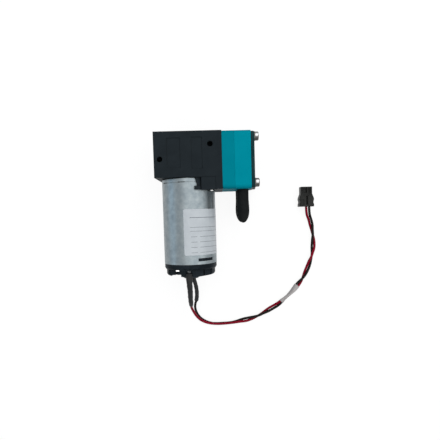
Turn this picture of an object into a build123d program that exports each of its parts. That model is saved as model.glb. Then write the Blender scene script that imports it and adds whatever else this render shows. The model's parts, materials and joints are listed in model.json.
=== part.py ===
"""Diaphragm vacuum pump: square pump head on a crank housing, driven by a 28 mm direct-current motor.

The pump lies on its rear face. +X runs along the connecting rod towards the head, -Y runs along the motor
and +Z stands up from the resting face. The origin is on that face, under the point where the line of the
rod meets the axis of the motor shaft. Millimetres.
"""
from build123d import *
import math
import os

# ------------------------------------------------------------------ driving dimensions
# motor can, and the pump body that is made to its width
can_radius = 14.0
body_margin = 0.6              # from the can to each face of the body
body_width = 2 * (can_radius + body_margin)   # side of the square head, and the depth of the housing
axis_height = body_width / 2   # the shaft and the rod lie midway through the housing
housing_left = 16.1            # shaft axis to the closed end of the housing
head_joint = 18.1              # shaft axis to the face that the head is clamped on
housing_floor = 8.3            # rod axis down to the face that the motor stands on
flange_thickness = 3.3         # full-height flange under the head
saddle_left = 7.4              # the block beside the motor starts here
saddle_setback = 0.3           # the block stands back from the housing's faces
edge_bevel = 0.35
motor_wall = 3.5               # wall between the crank chamber and the motor
motor_gap = 0.1                # radial gap between the motor can and the saddle
collar_thickness = 0.6
collar_setback = 0.1           # from the underside of the saddle up to the collar's lower edge
collar_start = 16.0            # degrees from +Z, where the collar begins
collar_edge_x = (4.3, 5.7)     # its slanting edge, at the housing and at the lip
collar_lip = 0.7               # the collar's lower lip stands out this much
collar_lip_height = 1.7
saddle_screw_step = 1.6        # from the side of the can back to a screw's centre
saddle_screw_inset = 5.2       # from the housing's faces
saddle_screw_radius = 0.6
saddle_screw_length = 4.0
saddle_screw_head_radius = 0.9
saddle_screw_head_height = 0.6
panel_depth = 0.25
panels = [(-9.5, -2.7, -3.6, 11.3), (2.8, 8.3, -4.3, 11.5)]
mount_hole_radius = 1.45
mount_hole_depth = 8.0
mount_holes = [(-13.1, 0.85), (12.25, 8.0)]

# crank and connecting rod
throw = 1.5                    # eccentricity, half of the stroke
shaft_radius = 1.0
bearing_bore_radius = 3.5
bearing_outer_radius = 6.5
bearing_width = 4.0
ball_radius = 0.8
ball_count = 6
race_gap = 0.05                # between a ball and either ring
journal_step = 0.3             # shoulder that the inner ring stands on
journal_shoulder = 0.5
rod_eye_wall = 1.8
rod_shank_width = 6.0
rod_head_radius = 5.6
rod_head_thickness = 1.2
counterweight_radius = 6.3
counterweight_thickness = 1.9
crank_gap = 0.4                # least gap between the turning parts and the chamber
rod_head_room = 1.0            # behind the rod's head
chamber_ceiling = 1.4          # above the bearing

# diaphragm and head
diaphragm_thickness = 0.8
rim_radius = 12.6
rim_width = 2.1
rim_thickness = 1.2
clamp_disc_radius = 6.2
clamp_disc_thickness = 1.0
clamp_screw_radius = 1.25
clamp_screw_head_radius = 2.3
clamp_screw_length = 5.0
plate_thickness = 6.2
head_thickness = 8.4
cover_thickness = 1.85
cover_inset = 0.45
head_corner_radius = 2.2
chamber_depth = 3.5            # of the pumping chamber in the intermediate plate
chamber_end_radius = 8.0
valve_spacing = 9.2
valve_radius = 3.0
valve_thickness = 0.5
valve_lift = 0.4
valve_pocket_radius = 3.4
valve_seat_hole = 0.9
valve_port_radius = 0.45
gasket_width = 1.0
gasket_depth = 0.8
gasket_margin = 0.4            # from a valve pocket to the gasket
port_spacing = 14.0
port_bore = 0.9
passage_radius = 0.7           # of the drillings between the ports and the valves
port_tip_radius = 1.65
barb_radius = 2.1
barb_length = 7.5
barb_count = 3
port_neck = 1.2                # plain stretch between the head and the first barb
port_root = 0.5                # how far a port's stem is drawn into the head
head_screw_inset = 3.0         # from the faces of the body to a screw's centre
head_screw_radius = 1.25
head_screw_length = 24.0
head_screw_head_radius = 2.25
head_screw_head_height = 1.8
head_screw_recess = 0.8        # depth of the cross recess
head_screw_recess_width = 0.625
washer_radius = 2.4
washer_thickness = 0.5
screw_gap = 0.05

# rubber port caps
cap_radius = 3.05
cap_bulge = 0.2
cap_bulge_rise = 1.0           # from the nose up to the bulge
cap_length = 17.4
cap_nose_length = 5.4
cap_nose_radius = 2.2          # a third of the way up the nose
cap_bore_gap = 0.1
cap_bore_length = 11.5

# motor
can_wall = 0.8
can_length = 44.35
can_front_wall = 1.0
can_corner = 0.5
groove_depth = 0.12
groove_width = 0.3
groove_from_front = 2.1
slit_count = 8                 # punched in the groove
slit_depth = 0.5
slit_height = 0.45
slit_start = -18.5             # degrees from +Z
slit_angle = 15.0
window_from_end = 1.65
window_height = 1.5
window_start = 20.0            # degrees from +Z towards +X
window_end = 58.0
spigot_radius = 4.7
spigot_height = 2.0
spigot_lip = 0.6               # over the front bushing
spigot_mouth = 1.6             # radius of the lip's opening for the shaft
bushing_radius = 3.0
bushing_length = 3.2
bushing_gap = 0.03
magnet_gap = 0.5               # between the magnets and the armature
magnet_half_angle = 65.0
magnet_length = 26.0
magnet_from_front = 4.2
armature_radius = 9.2
armature_length = 20.0
armature_from_front = 7.7
tooth_count = 3
tooth_width = 4.0
tooth_tip_thickness = 1.5
armature_hub_radius = 3.55
tooth_root = 0.5               # how far a tooth is drawn into its tip
slot_opening = 22.0            # degrees between two tooth tips
coil_width = 8.4
coil_overhang = 3.2
coil_corner = 1.9
coil_gap = 0.1                 # from a coil to the tooth tips
coil_hub_gap = 0.4
commutator_radius = 2.6
commutator_length = 6.0
commutator_from_front = 34.0
commutator_slit = 0.3
brush_gap = 0.05
brush_width = 2.4
brush_length = 3.5
brush_height = 3.0
brush_spring_thickness = 0.3
spring_end_gap = 0.6           # from a leaf spring's end to the end cap
thrust_washer_radius = 2.2
thrust_washer_thickness = 0.4

# end cap of the motor
cap_flange_step = 0.1          # the flange is this much inside the can's outline
cap_flange_height = 2.1
cap_body_step = 0.9            # from the flange to the body of the cap
cap_taper = 1.4
cap_bottom = 7.8               # can end to the underside, beside the boss
cap_edge = 6.1                 # can end to the underside, at its outer edge
cap_waist = 5.85               # can end to the hollow beside the left foot
bridge_half_depth = 7.2
ledge_depth = 3.6              # can end to the ledges that the terminals come out of
ledge_half_depth = 9.6
ledge_half_width = 5.4
ledge_pockets = [(-3.2, -1.5), (1.3, 3.6)]
ledge_pocket_top = 2.25        # can end to the pockets above a ledge
ledge_pocket_height = 0.6
ledge_pocket_depth = 0.8
foot_radius = 1.2
foot_inset = 4.1               # from the can's outline to the left foot's inner side
boss_radius = 4.9
boss_bottom = 8.5
boss_chamfer = 1.0
cap_rim_wall = 1.5
cap_rim_height = 3.6
cap_hollow_radius = 6.0
cap_hollow_depth = 4.0
latch_inset = 0.35             # the latches stay this much inside the can's outline
latch_root = 0.5               # and reach this much into the rim
latch_end_gap = 0.5            # degrees
rib_slot_width = 0.9
rib_slot_depth = 1.2
rib_slot_top = 2.9             # can end to the top of the slots
rib_slots = [7.2, 10.9]        # distances from the motor axis
terminal_offset = 8.3          # motor axis to a terminal, along Z
terminal_shift = 0.6
terminal_width = 1.4
terminal_thickness = 0.5
terminal_reach = 6.6           # can end to a terminal's tip
terminal_rise = 1.2            # can end up to the terminal's foot
terminal_neck = 1.12           # width of the tip that the lead is soldered to
terminal_neck_length = 1.8
tab_from_axis = 6.65           # motor axis to the middle of a brush holder's tab, along X
tab_top = 2.95                 # can end to the tab
tab_width = 1.75
tab_height = 1.1
tab_thickness = 0.5
tab_proud = 0.12               # the tab stands out of the end cap

# label
label_start_angle = -9.0
label_end_angle = 168.0
label_top = 15.95              # below the can's front
label_height = 23.6
label_thickness = 0.1
label_corner = 1.0

# leads
lead_radius = 0.7
sleeve_gap = 0.04
sleeve_overlap = 1.6           # over the terminal
red_sleeve_wall = 0.26
black_sleeve_wall = 0.3
marker_wall = 0.15
marker_gap = 0.05
lead_pitch = 1.48              # of the two leads inside the marker sleeve

# plug
plug_centre = 65.4
plug_rear = -24.3
plug_rear_length = 4.6
plug_waist_depth = 0.3
plug_rear_width = 8.2
plug_front_width = 6.2
plug_length = 11.1
plug_height = 5.8
plug_taper_length = 2.7
plug_cavity = 1.4
plug_cavity_length = 8.4
contact_wall = 0.3
contact_gap = 0.05
contact_recess = 0.8           # plug's nose to the contacts
contact_back_wall = 1.0
window_x = (-2.45, 0.1)        # recess in the nose, from the plug's middle
window_length = 3.0
window_depth = 1.2
nose_rim = 0.4                 # wall between the nose's recesses and its end
nose_slot_places = [1.3, 2.3]
nose_slot_width = 0.45
nose_slot_length = 3.5
nose_slot_depth = 1.0
lever_x = (0.55, 2.75)         # raised block behind the slots
lever_length = 6.0
lever_end = 0.7                # plug's rear to the block
lever_rise = 0.45
key_groove_x = (-0.45, 0.4)
key_groove_length = 4.9
key_groove_end = 1.0
key_groove_depth = 1.0
grip_x = (-3.6, -1.5)          # recessed grip at the rear
grip_length = 3.0
grip_depth = 0.35

# ------------------------------------------------------------------ places that follow from the sizes
plate_joint = head_joint + plate_thickness
head_end = plate_joint + head_thickness
cover_end = head_end + cover_thickness
port_x = plate_joint + head_thickness / 2
port_zs = [axis_height - port_spacing / 2, axis_height + port_spacing / 2]
inlet_z = axis_height + valve_spacing / 2
outlet_z = axis_height - valve_spacing / 2
head_bottom = -body_width / 2
cap_flange_radius = can_radius - cap_flange_step
cap_body_radius = cap_flange_radius - cap_body_step
saddle_screw_x = can_radius - saddle_screw_step
collar_low = head_bottom + collar_setback
chamber_floor = -housing_floor + motor_wall
bearing_x = -throw             # the rod rests at bottom dead centre
rod_eye_radius = bearing_outer_radius + rod_eye_wall
web_top = head_joint + diaphragm_thickness - throw
rod_head_top = web_top - diaphragm_thickness
rim_inner_radius = rim_radius - rim_width
can_front = -housing_floor
can_end = can_front - can_length
can_bore = can_radius - can_wall
armature_top = can_front - armature_from_front
commutator_top = can_front - commutator_from_front
motor_axis = Axis((0, 0, axis_height), (0, -1, 0))
plug_nose = plug_rear + plug_length

lead_red_route = [
    (-0.6, -59.25, 22.9), (-0.6, -63.2, 22.9), (-0.4, -67.7, 21.0), (-0.6, -72.0, 18.5), (-0.5, -75.8, 15.9),
    (-0.79, -77.76, 12.7), (0.3, -81.27, 9.6), (1.9, -84.73, 6.9), (4.06, -87.44, 4.7), (6.99, -89.41, 3.1),
    (10.58, -90.3, 2.35), (14.51, -90.52, 2.2), (18.56, -90.35, 2.2), (22.33, -90.05, 2.2),
    (26.28, -89.85, 2.1), (30.05, -89.73, 1.2), (33.54, -89.01, 0.75), (36.48, -87.74, 0.75),
    (38.91, -85.98, 0.75), (40.93, -84.04, 0.75), (43.3, -82.04, 0.8), (47.87, -79.88, 0.92),
    (54.49, -73.07, 0.92), (61.11, -67.15, 0.92), (63.0, -64.5, 0.75), (64.71, -61.19, 0.75),
    (65.56, -58.07, 0.8), (66.6, -55.34, 1.5), (67.64, -52.96, 2.4), (69.05, -50.81, 2.4), (70.4, -48.38, 1.7),
    (70.83, -45.46, 0.8), (70.53, -42.57, 0.75), (69.7, -40.06, 0.75), (68.59, -37.5, 0.75),
    (67.75, -34.65, 0.8), (67.0, -31.64, 1.3), (65.55, -28.2, 2.9), (65.55, -24.3, 2.9)]
lead_black_route = [
    (0.6, -59.25, 6.3), (0.6, -62.9, 6.3), (1.8, -67.3, 5.1), (2.2, -71.9, 3.8), (1.7, -76.2, 2.3),
    (0.72, -78.73, 1.3), (0.66, -81.59, 0.8), (1.67, -84.52, 0.75), (3.4, -86.87, 0.75), (5.9, -88.77, 0.75),
    (9.12, -90.04, 0.75), (12.83, -90.57, 0.75), (16.67, -90.45, 0.75), (20.41, -89.97, 0.75),
    (24.16, -89.2, 0.75), (27.73, -88.41, 0.8), (31.33, -87.61, 1.1), (34.37, -86.62, 1.9),
    (37.23, -85.8, 2.45), (40.13, -85.07, 2.45), (43.15, -84.37, 1.6), (46.04, -83.02, 1.0),
    (48.93, -80.92, 0.92), (55.51, -74.13, 0.92), (62.09, -68.25, 0.92), (63.8, -65.9, 2.3),
    (65.85, -62.3, 1.8), (67.62, -59.87, 0.8), (68.53, -57.23, 0.75), (68.98, -54.33, 0.75),
    (69.02, -51.32, 0.75), (68.84, -48.3, 0.75), (68.9, -45.28, 0.9), (68.9, -42.57, 1.8),
    (69.07, -40.25, 2.45), (69.45, -37.63, 2.45), (69.6, -34.69, 1.5), (69.0, -31.7, 1.4), (67.25, -28.3, 2.9),
    (67.25, -24.3, 2.9)]
marker_route = [(48.4, -80.4, 0.92), (55.0, -73.6, 0.92), (61.6, -67.7, 0.92)]
red_sleeve_runs = 4            # the sleeve ends halfway along this run of its lead
black_sleeve_runs = 4
marker_trim = 2.2              # from each end of the marker's route to the sleeve


# ------------------------------------------------------------------ shared shapes
def block(x0, x1, y0, y1, z0, z1):
    """Box between two corners."""
    return Pos((x0 + x1) / 2, (y0 + y1) / 2, (z0 + z1) / 2) * Box(x1 - x0, y1 - y0, z1 - z0)


def post_x(radius, x0, x1, y=0, z=axis_height):
    """Cylinder along +X from x0 to x1."""
    low = (Align.CENTER, Align.CENTER, Align.MIN)
    return Pos(x0, y, z) * Rot(0, 90, 0) * Cylinder(radius, x1 - x0, align=low)


def post_y(radius, y_top, y_bottom, x=0, z=axis_height):
    """Cylinder along -Y from y_top down to y_bottom."""
    low = (Align.CENTER, Align.CENTER, Align.MIN)
    return Pos(x, y_top, z) * Rot(90, 0, 0) * Cylinder(radius, y_top - y_bottom, align=low)


def post_z(radius, z0, z1, x, y):
    """Cylinder along +Z from z0 to z1."""
    return Pos(x, y, z0) * Cylinder(radius, z1 - z0, align=(Align.CENTER, Align.CENTER, Align.MIN))


def motor_turned(points):
    """Solid turned about the motor axis from (radius, y) points."""
    profile = make_face(Polyline(*[(r, y, axis_height) for r, y in points], close=True))
    return revolve(profile, axis=motor_axis)


def sector(r_in, r_out, y_top, y_bottom, start, end, x=0):
    """Part of a ring about the shaft direction, between two angles from +Z towards +X."""
    profile = make_face(Polyline((r_in, y_bottom), (r_out, y_bottom), (r_out, y_top), (r_in, y_top), close=True))
    return Pos(x, 0, axis_height) * Rot(0, start - 90, 0) * revolve(profile, Axis.Y, end - start)


def head_plane(x, y=0, z=axis_height):
    """Plane across the head at x, with its own x along +Y and its own y along +Z."""
    return Plane(origin=(x, y, z), x_dir=(0, 1, 0), z_dir=(1, 0, 0))


def head_slab(x0, x1, width, corner):
    """Square slab of the head with rounded edges."""
    return extrude(head_plane(x0) * RectangleRounded(width, width, corner), amount=x1 - x0)


def head_screw_places():
    """Centres of the head screws, as (y, z)."""
    half = body_width / 2 - head_screw_inset
    return [(y, axis_height + z) for y in (-half, half) for z in (-half, half)]


def screw_clearance(x0, x1):
    """The head screws' clearance holes between x0 and x1."""
    holes = [post_x(head_screw_radius + screw_gap, x0, x1, y, z) for y, z in head_screw_places()]
    return Compound(holes)


# ------------------------------------------------------------------ pump housing
def crank_chamber():
    """Hollow that the eccentric and the rod turn in, open towards the head."""
    top = bearing_width / 2 + chamber_ceiling
    cavity = post_y(rod_eye_radius + throw + crank_gap, top, chamber_floor)
    half = rod_eye_radius + crank_gap
    cavity += block(0, head_joint, chamber_floor, top, axis_height - half, axis_height + half)
    head_room = rod_head_top - rod_head_thickness - rod_head_room
    cavity += post_x(rod_head_radius + throw + crank_gap, head_room, head_joint)
    cavity += post_x(rim_inner_radius, rod_head_top - crank_gap, head_joint)
    return cavity


def housing():
    """Moulded crank housing with its flange, the saddle beside the motor and the lipped collar round it."""
    top = body_width / 2
    main = block(-housing_left, head_joint, can_front, top, 0, body_width)
    flange = block(head_joint - flange_thickness, head_joint, -top, top, 0, body_width)
    main = main + flange
    main = chamfer(main.edges().filter_by(Axis.Y).sort_by(Axis.X)[:2], edge_bevel)
    main = chamfer(main.edges().filter_by(Axis.X).filter_by_position(Axis.Y, can_front, top), edge_bevel / 2)
    saddle = block(saddle_left, head_joint - flange_thickness, -top, can_front,
                   saddle_setback, body_width - saddle_setback)
    body = main + saddle + collar() + collar_rim()
    body -= post_y(can_radius + motor_gap, can_front, -top)
    body -= post_y(spigot_radius + motor_gap, chamber_floor, can_front)
    body -= crank_chamber()
    for x0, x1, y0, y1 in panels:
        recess = Pos((x0 + x1) / 2, (y0 + y1) / 2, body_width - panel_depth)
        body -= extrude(recess * RectangleRounded(x1 - x0, y1 - y0, edge_bevel), amount=panel_depth)
    for x, y in mount_holes:
        body -= post_z(mount_hole_radius, body_width - mount_hole_depth, body_width, x, y)
    for z in saddle_screw_zs():
        body -= post_y(saddle_screw_radius + screw_gap, head_bottom + saddle_screw_length, head_bottom,
                       saddle_screw_x, z)
    screw_tip = cover_end + washer_thickness - head_screw_length
    return body - screw_clearance(screw_tip - screw_gap, head_joint)


def collar():
    """Thin wall round the motor, with a slanting edge."""
    low = collar_low + collar_lip_height
    wall = sector(can_radius + motor_gap, can_radius + motor_gap + collar_thickness, can_front, low,
                  collar_start, 180 - collar_start)
    slant = Polyline((0, can_front), (collar_edge_x[0], can_front), (collar_edge_x[1], low), (0, low), close=True)
    return wall - extrude(make_face(slant), amount=body_width)


def collar_rim():
    """Lip along the lower edge of the collar, trimmed flush with the housing's faces."""
    high = collar_low + collar_lip_height
    lip = sector(can_radius + motor_gap, can_radius + motor_gap + collar_thickness + collar_lip,
                 high, collar_low, collar_start, 180 - collar_start)
    return lip & block(0, head_joint - flange_thickness, collar_low, high, 0, body_width)


def saddle_screw_zs():
    return [saddle_screw_inset, body_width - saddle_screw_inset]


def saddle_screw(z):
    """Small pan-head screw in the underside of the saddle."""
    low = head_bottom - saddle_screw_head_height
    head = post_y(saddle_screw_head_radius, head_bottom, low, saddle_screw_x, z)
    head = fillet(head.edges().filter_by(GeomType.CIRCLE).sort_by(Axis.Y)[0], saddle_screw_head_height / 3)
    return head + post_y(saddle_screw_radius, head_bottom + saddle_screw_length - screw_gap, head_bottom,
                         saddle_screw_x, z)


def saddle_screws():
    return Compound([saddle_screw(z) for z in saddle_screw_zs()])


# ------------------------------------------------------------------ crank train
def eccentric():
    """Journal for the bearing, carried off centre on the shaft, with its counterweight."""
    half = bearing_width / 2
    step = half + journal_step
    journal = post_y(bearing_bore_radius, half, -step, bearing_x)
    shoulder = post_y(bearing_bore_radius + journal_shoulder, -half, -step, bearing_x)
    low = -step - counterweight_thickness
    weight = sector(0, counterweight_radius, -step, low, 0, 180)
    hub = post_y(bearing_bore_radius, -step, low)
    return journal + shoulder + weight + hub - post_y(shaft_radius, half, low)


def ball_circle():
    """Radius of the circle of ball centres."""
    return (bearing_bore_radius + bearing_outer_radius) / 2


def bearing_inner_ring():
    half = bearing_width / 2
    ring = post_y(ball_circle() - ball_radius - race_gap, half, -half, bearing_x)
    return ring - post_y(bearing_bore_radius, half, -half, bearing_x)


def bearing_outer_ring():
    half = bearing_width / 2
    ring = post_y(bearing_outer_radius, half, -half, bearing_x)
    return ring - post_y(ball_circle() + ball_radius + race_gap, half, -half, bearing_x)


def ball_centres():
    """Centres of the bearing's balls."""
    angles = [2 * math.pi * k / ball_count for k in range(ball_count)]
    reach = ball_circle()
    return [(bearing_x + reach * math.cos(a), 0, axis_height + reach * math.sin(a)) for a in angles]


def bearing_balls():
    return Compound([Pos(*centre) * Sphere(ball_radius) for centre in ball_centres()])


def bearing_cage():
    """Thin ring with a window for each ball."""
    half = bearing_width / 4
    cage_wall = ball_radius / 2
    ring = post_y(ball_circle() + cage_wall, half, -half, bearing_x)
    ring -= post_y(ball_circle() - cage_wall, half, -half, bearing_x)
    for centre in ball_centres():
        ring -= Pos(*centre) * Sphere(ball_radius + race_gap)
    return ring


def connecting_rod():
    """Rod with the bearing's eye at one end and the diaphragm's seat at the other."""
    half = bearing_width / 2
    seat = rod_head_top - rod_head_thickness
    eye = post_y(rod_eye_radius, half, -half, bearing_x)
    outline = Polyline((bearing_x, -rod_eye_radius), (seat, -rod_shank_width / 2),
                       (seat, rod_shank_width / 2), (bearing_x, rod_eye_radius), close=True)
    shank = Pos(0, half, axis_height) * Rot(90, 0, 0) * extrude(make_face(outline), amount=bearing_width)
    head = post_x(rod_head_radius, seat, rod_head_top)
    rod = eye + shank + head
    rod -= post_y(bearing_outer_radius, half, -half, bearing_x)
    return rod - post_x(clamp_screw_radius, web_top + clamp_disc_thickness - clamp_screw_length, rod_head_top)


def clamp_disc():
    """Disc that clamps the middle of the diaphragm on the rod."""
    disc = post_x(clamp_disc_radius, web_top, web_top + clamp_disc_thickness)
    disc = chamfer(disc.edges().sort_by(Axis.X)[-1], clamp_disc_thickness / 3)
    return disc - clamp_screw()


def clamp_screw():
    """Countersunk screw through the clamp disc into the rod."""
    top = web_top + clamp_disc_thickness
    shank = post_x(clamp_screw_radius, top - clamp_screw_length, top)
    depth = clamp_screw_head_radius - clamp_screw_radius
    base = head_plane(top - depth) * Circle(clamp_screw_radius)
    head = loft([base, head_plane(top) * Circle(clamp_screw_head_radius)])
    return shank + head


def diaphragm():
    """Moulded diaphragm at bottom dead centre: rim, rolling web and flat middle."""
    inner = clamp_disc_radius
    half = diaphragm_thickness / 2
    middle = (rim_inner_radius + inner) / 2
    high = head_joint + half
    low = web_top - half
    slope = [(inner, low), (middle, (high + low) / 2), (rim_inner_radius, high)]
    spline = Spline(*[(x, r) for r, x in slope], tangents=[(0, 1), (0, 1)])
    upper = [(p.X + half, p.Y) for p in [spline @ (k / 8) for k in range(9)]]
    lower = [(p.X - half, p.Y) for p in [spline @ (k / 8) for k in range(9)]]
    rim_far = head_joint + rim_thickness
    points = ([(web_top, clamp_screw_radius + motor_gap)] + upper
              + [(rim_far, rim_inner_radius), (rim_far, rim_radius), (head_joint, rim_radius)]
              + lower[::-1] + [(rod_head_top, clamp_screw_radius + motor_gap)])
    profile = make_face(Polyline(*points, close=True))
    return Pos(0, 0, axis_height) * revolve(profile, axis=Axis.X)


# ------------------------------------------------------------------ pump head
def seat_holes(z, x0, x1):
    """Ring of small holes that a valve disc lets the gas through."""
    spots = [(valve_radius * math.cos(k * math.pi / 3), z + valve_radius * math.sin(k * math.pi / 3))
             for k in range(6)]
    return Compound([post_x(valve_port_radius, x0, x1, y, spot_z) for y, spot_z in spots])


def intermediate_plate():
    """Plate with the pumping chamber on one face and the inlet valve's pocket on the other."""
    plate = head_slab(head_joint, plate_joint, body_width, head_corner_radius)
    plate -= post_x(rim_radius, head_joint, head_joint + rim_thickness)
    mouth = head_plane(head_joint + rim_thickness) * Circle(rim_inner_radius)
    end = head_plane(head_joint + chamber_depth) * Circle(chamber_end_radius)
    plate -= loft([mouth, end])
    pocket = valve_thickness + valve_lift
    plate -= post_x(valve_pocket_radius, plate_joint - pocket, plate_joint, 0, inlet_z)
    plate -= seat_holes(inlet_z, head_joint + chamber_depth, plate_joint - pocket)
    plate -= post_x(valve_seat_hole, head_joint + chamber_depth, plate_joint, 0, outlet_z)
    return plate - screw_clearance(head_joint, plate_joint)


def gasket_outline(grow):
    """Filled oval round both valve pockets, grown by a margin."""
    reach = valve_pocket_radius + gasket_margin + grow
    return head_plane(plate_joint) * Rot(0, 0, 90) * SlotOverall(valve_spacing + 2 * reach, 2 * reach)


def head_gasket():
    """Figure-of-eight seal round the two valve pockets."""
    ring = extrude(gasket_outline(gasket_width), amount=gasket_depth)
    ring -= extrude(gasket_outline(0), amount=gasket_depth)
    reach = valve_pocket_radius + gasket_margin
    bar = block(plate_joint, plate_joint + gasket_depth, -reach, reach,
                axis_height - gasket_width / 2, axis_height + gasket_width / 2)
    return ring + bar


def valve_disc(z, lift_side):
    """Rubber disc that rests on the joint between the plates; lift_side is where it lifts to."""
    start = plate_joint if lift_side > 0 else plate_joint - valve_thickness
    return post_x(valve_radius, start, start + valve_thickness, 0, z)


def hose_port(z):
    """Barbed hose connection below the head."""
    barb_pitch = (barb_length - port_neck) / barb_count
    root = head_bottom + port_root
    points = [(0, root), (port_tip_radius, root), (port_tip_radius, head_bottom - port_neck)]
    for k in range(barb_count):
        top = head_bottom - port_neck - k * barb_pitch
        points += [(barb_radius, top), (port_tip_radius, top - barb_pitch)]
    points.append((0, head_bottom - barb_length))
    profile = make_face(Polyline(*points, close=True))
    return Pos(port_x, 0, z) * revolve(profile, axis=Axis.Y)


def head_plate():
    """Head with the two hose ports, their passages and the outlet valve's pocket."""
    plate = head_slab(plate_joint, head_end, body_width, head_corner_radius)
    for z in port_zs:
        plate += hose_port(z)
    inside = port_bore / 3
    for z in port_zs:
        plate -= post_y(port_bore, port_bore + inside, head_bottom - barb_length, port_x, z)
    plate -= post_x(passage_radius, plate_joint, port_x, 0, inlet_z)
    plate -= post_z(passage_radius + 0.1, inlet_z - inside, port_zs[1] - inside, port_x, 0)
    pocket = valve_thickness + valve_lift
    plate -= post_x(valve_pocket_radius, plate_joint, plate_joint + pocket, 0, outlet_z)
    plate -= post_x(passage_radius, plate_joint, port_x + inside, 0, port_zs[0])
    plate -= head_gasket()
    return plate - screw_clearance(plate_joint, head_end)


def cover_plate():
    """Stiff plate that spreads the load of the head screws."""
    plate = head_slab(head_end, cover_end, body_width - 2 * cover_inset, head_corner_radius - cover_inset)
    plate = chamfer(plate.faces().sort_by(Axis.X)[-1].edges(), edge_bevel)
    return plate - screw_clearance(head_end, cover_end)


def head_screw(y, z):
    """Pan-head screw with a cross recess."""
    base = cover_end + washer_thickness
    head = post_x(head_screw_head_radius, base, base + head_screw_head_height, y, z)
    head = fillet(head.edges().sort_by(Axis.X)[-1], head_screw_head_height / 3)
    reach = 2 * head_screw_radius
    for turn in (0, 90):
        slot = Box(2 * head_screw_recess, reach, head_screw_recess_width)
        head -= Pos(base + head_screw_head_height, y, z) * Rot(turn, 0, 0) * slot
    return head + post_x(head_screw_radius, base - head_screw_length, base, y, z)


def head_screws():
    return Compound([head_screw(y, z) for y, z in head_screw_places()])


def head_washers():
    """Plain washers under the screw heads."""
    rings = []
    for y, z in head_screw_places():
        ring = post_x(washer_radius, cover_end, cover_end + washer_thickness, y, z)
        rings.append(ring - post_x(head_screw_radius + screw_gap, cover_end, cover_end + washer_thickness, y, z))
    return Compound(rings)


def port_cap(z):
    """Soft rubber cap on a hose port, with a slight bulge and a bullet nose."""
    tip = head_bottom - cap_length
    shoulder = tip + cap_nose_length
    side = Spline((cap_radius, head_bottom), (cap_radius, (head_bottom + shoulder) / 2),
                  (cap_radius + cap_bulge, shoulder + cap_bulge_rise), (cap_nose_radius, tip + cap_nose_length / 3),
                  (0, tip), tangents=[(0, -1), (-1, 0)])
    outline = [Line((0, head_bottom), (cap_radius, head_bottom)), side, Line((0, tip), (0, head_bottom))]
    body = Pos(port_x, 0, z) * revolve(make_face(outline), axis=Axis.Y)
    return body - post_y(barb_radius + cap_bore_gap, head_bottom, head_bottom - cap_bore_length, port_x, z)


# ------------------------------------------------------------------ motor
def motor_can():
    """Drawn steel can: front spigot, rolled line with punched slits near the front, two latch windows."""
    shell = motor_turned([(0, can_front), (can_radius, can_front), (can_radius, can_end), (0, can_end)])
    shell = fillet(shell.edges().filter_by(GeomType.CIRCLE).sort_by(Axis.Y)[-1], can_corner)
    shell -= post_y(can_bore, can_front - can_front_wall, can_end)
    line = can_front - groove_from_front
    shell -= motor_turned([(can_radius - groove_depth, line), (can_radius + 1, line),
                           (can_radius + 1, line - groove_width),
                           (can_radius - groove_depth, line - groove_width)])
    slit_top = line - groove_width / 2 + slit_height / 2
    for k in range(slit_count):
        turn = slit_start + k * 360 / slit_count
        shell -= sector(can_radius - slit_depth, can_radius + 1, slit_top, slit_top - slit_height,
                        turn, turn + slit_angle)
    shell += post_y(spigot_radius, can_front + spigot_height, can_front - can_front_wall)
    shell -= post_y(bushing_radius, bushing_top(), can_front - can_front_wall)
    shell -= post_y(spigot_mouth, can_front + spigot_height, can_front)
    top = can_end + window_from_end + window_height
    for turn in (0, 180):
        shell -= sector(can_bore - 1, can_radius + 1, top, top - window_height,
                        window_start + turn, window_end + turn)
    return shell


def bushing_top():
    """Upper end of the front bushing, under the lip of the spigot."""
    return can_front + spigot_height - spigot_lip


def bushing(top):
    """Sintered bearing bush."""
    ring = post_y(bushing_radius, top, top - bushing_length)
    return ring - post_y(shaft_radius + bushing_gap, top, top - bushing_length)


def rear_bushing_top():
    return can_end - cap_hollow_depth - thrust_washer_thickness


def motor_shaft():
    return post_y(shaft_radius, bearing_width / 2, rear_bushing_top() - bushing_length)


def thrust_washers():
    """Washers that take the shaft's end play at each bushing."""
    rings = []
    for top in (bushing_top() - bushing_length, rear_bushing_top() + thrust_washer_thickness):
        ring = post_y(thrust_washer_radius, top, top - thrust_washer_thickness)
        rings.append(ring - post_y(shaft_radius, top, top - thrust_washer_thickness))
    return Compound(rings)


def armature_core():
    """Laminated core with wide tooth tips."""
    bottom = armature_top - armature_length
    pitch = 360 / tooth_count
    core = post_y(armature_hub_radius, armature_top, bottom)
    for k in range(tooth_count):
        angle = k * pitch
        neck = block(-tooth_width / 2, tooth_width / 2, bottom, armature_top, 0, armature_radius - tooth_root)
        core += Pos(0, 0, axis_height) * Rot(0, angle, 0) * neck
        tip = (pitch - slot_opening) / 2
        core += sector(armature_radius - tooth_tip_thickness, armature_radius, armature_top, bottom,
                       angle - tip, angle + tip)
    return core - post_y(shaft_radius, armature_top, bottom)


def armature_windings():
    """One wound coil round each tooth."""
    bottom = armature_top - armature_length
    inner = armature_hub_radius + coil_hub_gap
    outer = armature_radius - tooth_tip_thickness - coil_gap
    limit = post_y(outer, armature_top + coil_overhang, bottom - coil_overhang)
    coils = []
    for k in range(tooth_count):
        coil = block(-coil_width / 2, coil_width / 2, bottom - coil_overhang, armature_top + coil_overhang,
                     inner, outer)
        coil = fillet(coil.edges().filter_by(Axis.Z), coil_corner)
        coil -= block(-tooth_width / 2, tooth_width / 2, bottom, armature_top, inner, outer)
        coils.append(Pos(0, 0, axis_height) * Rot(0, k * 360 / tooth_count, 0) * coil & limit)
    return Compound(coils)


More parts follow.
